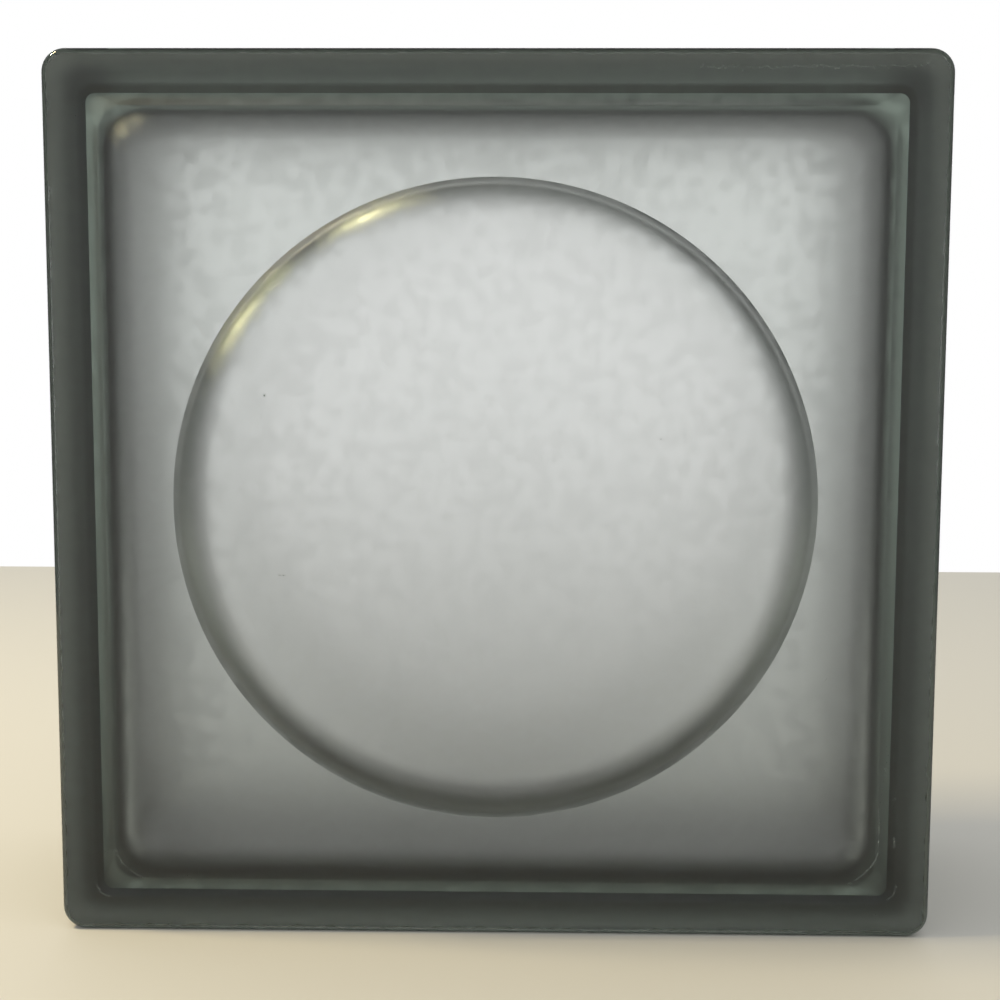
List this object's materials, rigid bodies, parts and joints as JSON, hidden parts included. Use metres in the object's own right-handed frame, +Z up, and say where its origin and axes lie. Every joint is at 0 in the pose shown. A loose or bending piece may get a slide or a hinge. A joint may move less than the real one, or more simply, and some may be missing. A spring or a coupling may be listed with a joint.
{
  "type": "glass block",
  "caption": "Hollow square block of tinted satin glass, with a raised panel and a raised round disc on each face, for light-passing walls.",
  "frame": {"origin": "on the floor, under the middle of the block as it stands on its bottom edge", "axes": "+X across the face to the right, +Y from the front face to the rear face, +Z up"},
  "size_m": [0.19, 0.08, 0.19],
  "materials": {
    "tinted_glass": "grey-green glass, satin-etched on both faces, clear and glossy on the outer edge"
  },
  "bodies": {
    "root": {"glass_block": "tinted_glass"}
  },
  "joints": []
}
